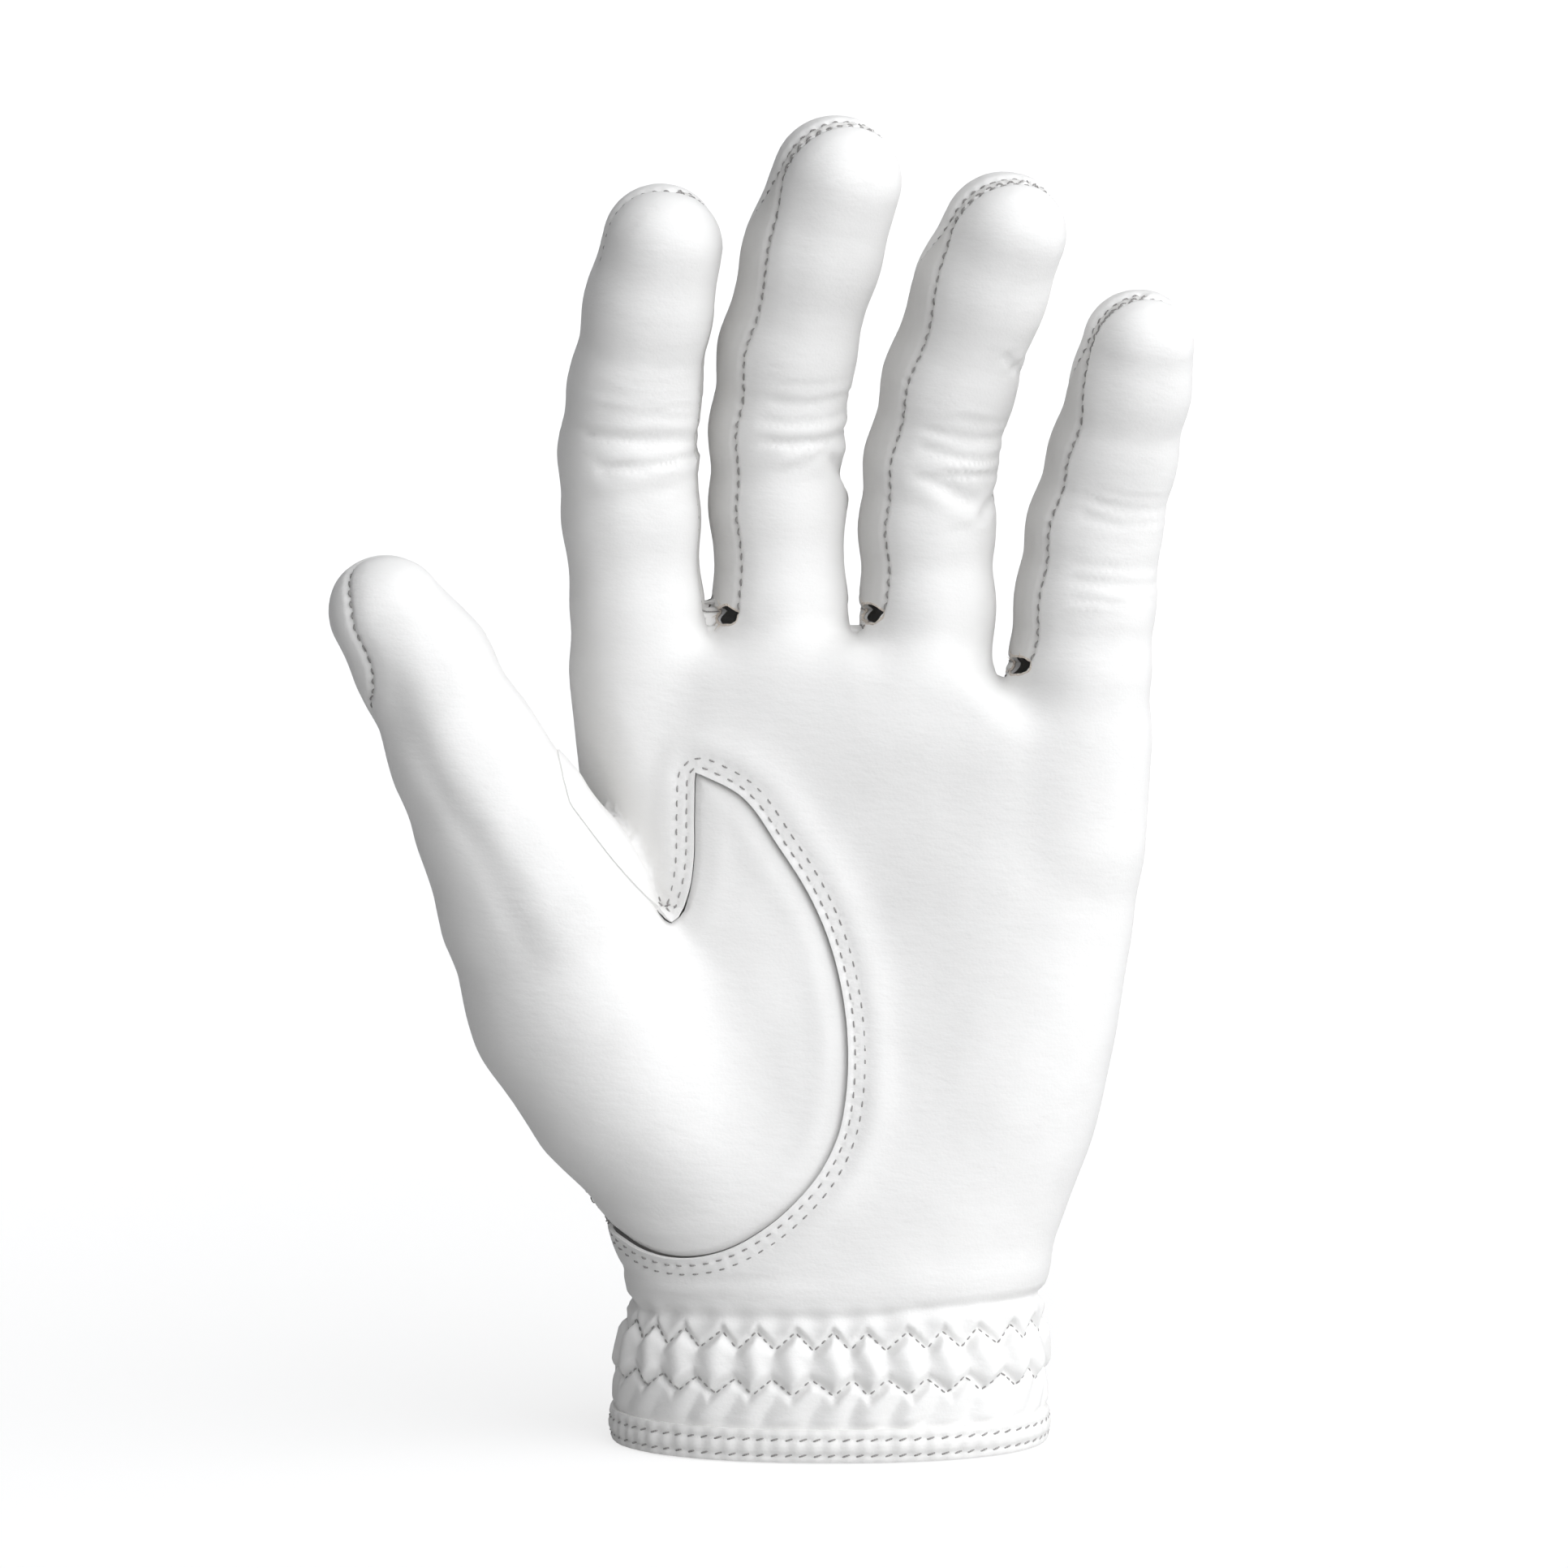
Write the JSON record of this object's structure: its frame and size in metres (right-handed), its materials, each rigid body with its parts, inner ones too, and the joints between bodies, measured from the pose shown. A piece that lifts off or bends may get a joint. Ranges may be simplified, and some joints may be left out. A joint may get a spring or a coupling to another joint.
{
  "type": "golf glove",
  "caption": "White leather golf glove for the left hand, as worn: open wrist with gathered cuff, set-in thumb, finger gussets, and a hook-and-loop closure tab on the back.",
  "frame": {"origin": "centre of the wrist opening, in the plane of the hem", "axes": "+Z from the wrist to the fingertips, palm faces -Y, thumb towards -X, little finger towards +X"},
  "size_m": [0.1405, 0.0558, 0.2194],
  "materials": {
    "hand_leather": "satin",
    "thumb_leather": "satin",
    "gusset_leather": "satin",
    "tab_leather": "satin",
    "binding": "satin",
    "elastic": "matte",
    "lining": "matte",
    "loop": "matte",
    "hook": "matte"
  },
  "bodies": {
    "hand": {"palm_panel": "hand_leather", "back_panel": "hand_leather", "thumb_panel": "thumb_leather", "thumb_back": "thumb_leather", "knuckle_crease": "hand_leather", "thumb_crease": "thumb_leather", "hem_binding": "binding", "upper_wrist_elastic": "elastic", "lower_wrist_elastic": "elastic", "knuckle_elastic": "elastic", "slit_binding": "binding", "tab_anchor": "tab_leather", "loop_pad": "loop"},
    "finger_block": {"finger_bases_front": "hand_leather", "finger_bases_back": "hand_leather", "index_middle_gusset": "gusset_leather", "middle_ring_gusset": "gusset_leather", "ring_little_gusset": "gusset_leather", "index_crease": "hand_leather", "middle_crease": "hand_leather", "ring_crease": "hand_leather", "little_crease": "hand_leather"},
    "thumb_tip": {"thumb_tip_front": "thumb_leather", "thumb_tip_back": "thumb_leather"},
    "closure_tab": {"closure_tab": "tab_leather", "tab_lining": "lining", "hook_pad": "hook"},
    "index_tip": {"index_front": "hand_leather", "index_back": "hand_leather", "index_gusset_outer": "gusset_leather"},
    "middle_tip": {"middle_front": "hand_leather", "middle_back": "hand_leather", "middle_gusset_inner": "gusset_leather", "middle_gusset_outer": "gusset_leather"},
    "ring_tip": {"ring_front": "hand_leather", "ring_back": "hand_leather", "ring_gusset_inner": "gusset_leather", "ring_gusset_outer": "gusset_leather"},
    "little_tip": {"little_front": "hand_leather", "little_back": "hand_leather", "little_gusset_inner": "gusset_leather"}
  },
  "joints": [
    {"name": "knuckle_flex", "type": "hinge", "parent": "hand", "child": "finger_block", "pos_m": [0.005, 0, 0.115], "axis": [0.9863, 0, -0.165], "range_deg": [0, 58], "deforming": ["knuckle_crease"]},
    {"name": "index_flex", "type": "hinge", "parent": "finger_block", "child": "index_tip", "pos_m": [-0.0324, -0.001, 0.167], "axis": [0.9841, 0.1735, -0.0384], "range_deg": [0, 72], "deforming": ["index_crease"]},
    {"name": "middle_flex", "type": "hinge", "parent": "finger_block", "child": "middle_tip", "pos_m": [-0.0086, -0.001, 0.167], "axis": [0.9827, 0.1733, -0.0649], "range_deg": [0, 72], "deforming": ["middle_crease"]},
    {"name": "ring_flex", "type": "hinge", "parent": "finger_block", "child": "ring_tip", "pos_m": [0.017, -0.001, 0.163], "axis": [0.9784, 0.1725, -0.1138], "range_deg": [0, 72], "deforming": ["ring_crease"]},
    {"name": "little_flex", "type": "hinge", "parent": "finger_block", "child": "little_tip", "pos_m": [0.0429, -0.001, 0.147], "axis": [0.9792, 0.1727, -0.1062], "range_deg": [0, 72], "deforming": ["little_crease"]},
    {"name": "thumb_flex", "type": "hinge", "parent": "hand", "child": "thumb_tip", "pos_m": [-0.0572, -0.0138, 0.1114], "axis": [0.7166, 0.5018, 0.4845], "range_deg": [0, 50], "deforming": ["thumb_crease"]},
    {"name": "closure_tab_peel", "type": "hinge", "parent": "hand", "child": "closure_tab", "pos_m": [-0.02015, 0.02137, 0.0235], "axis": [0, -0.0403, 0.9992], "range_deg": [0, 140]}
  ]
}
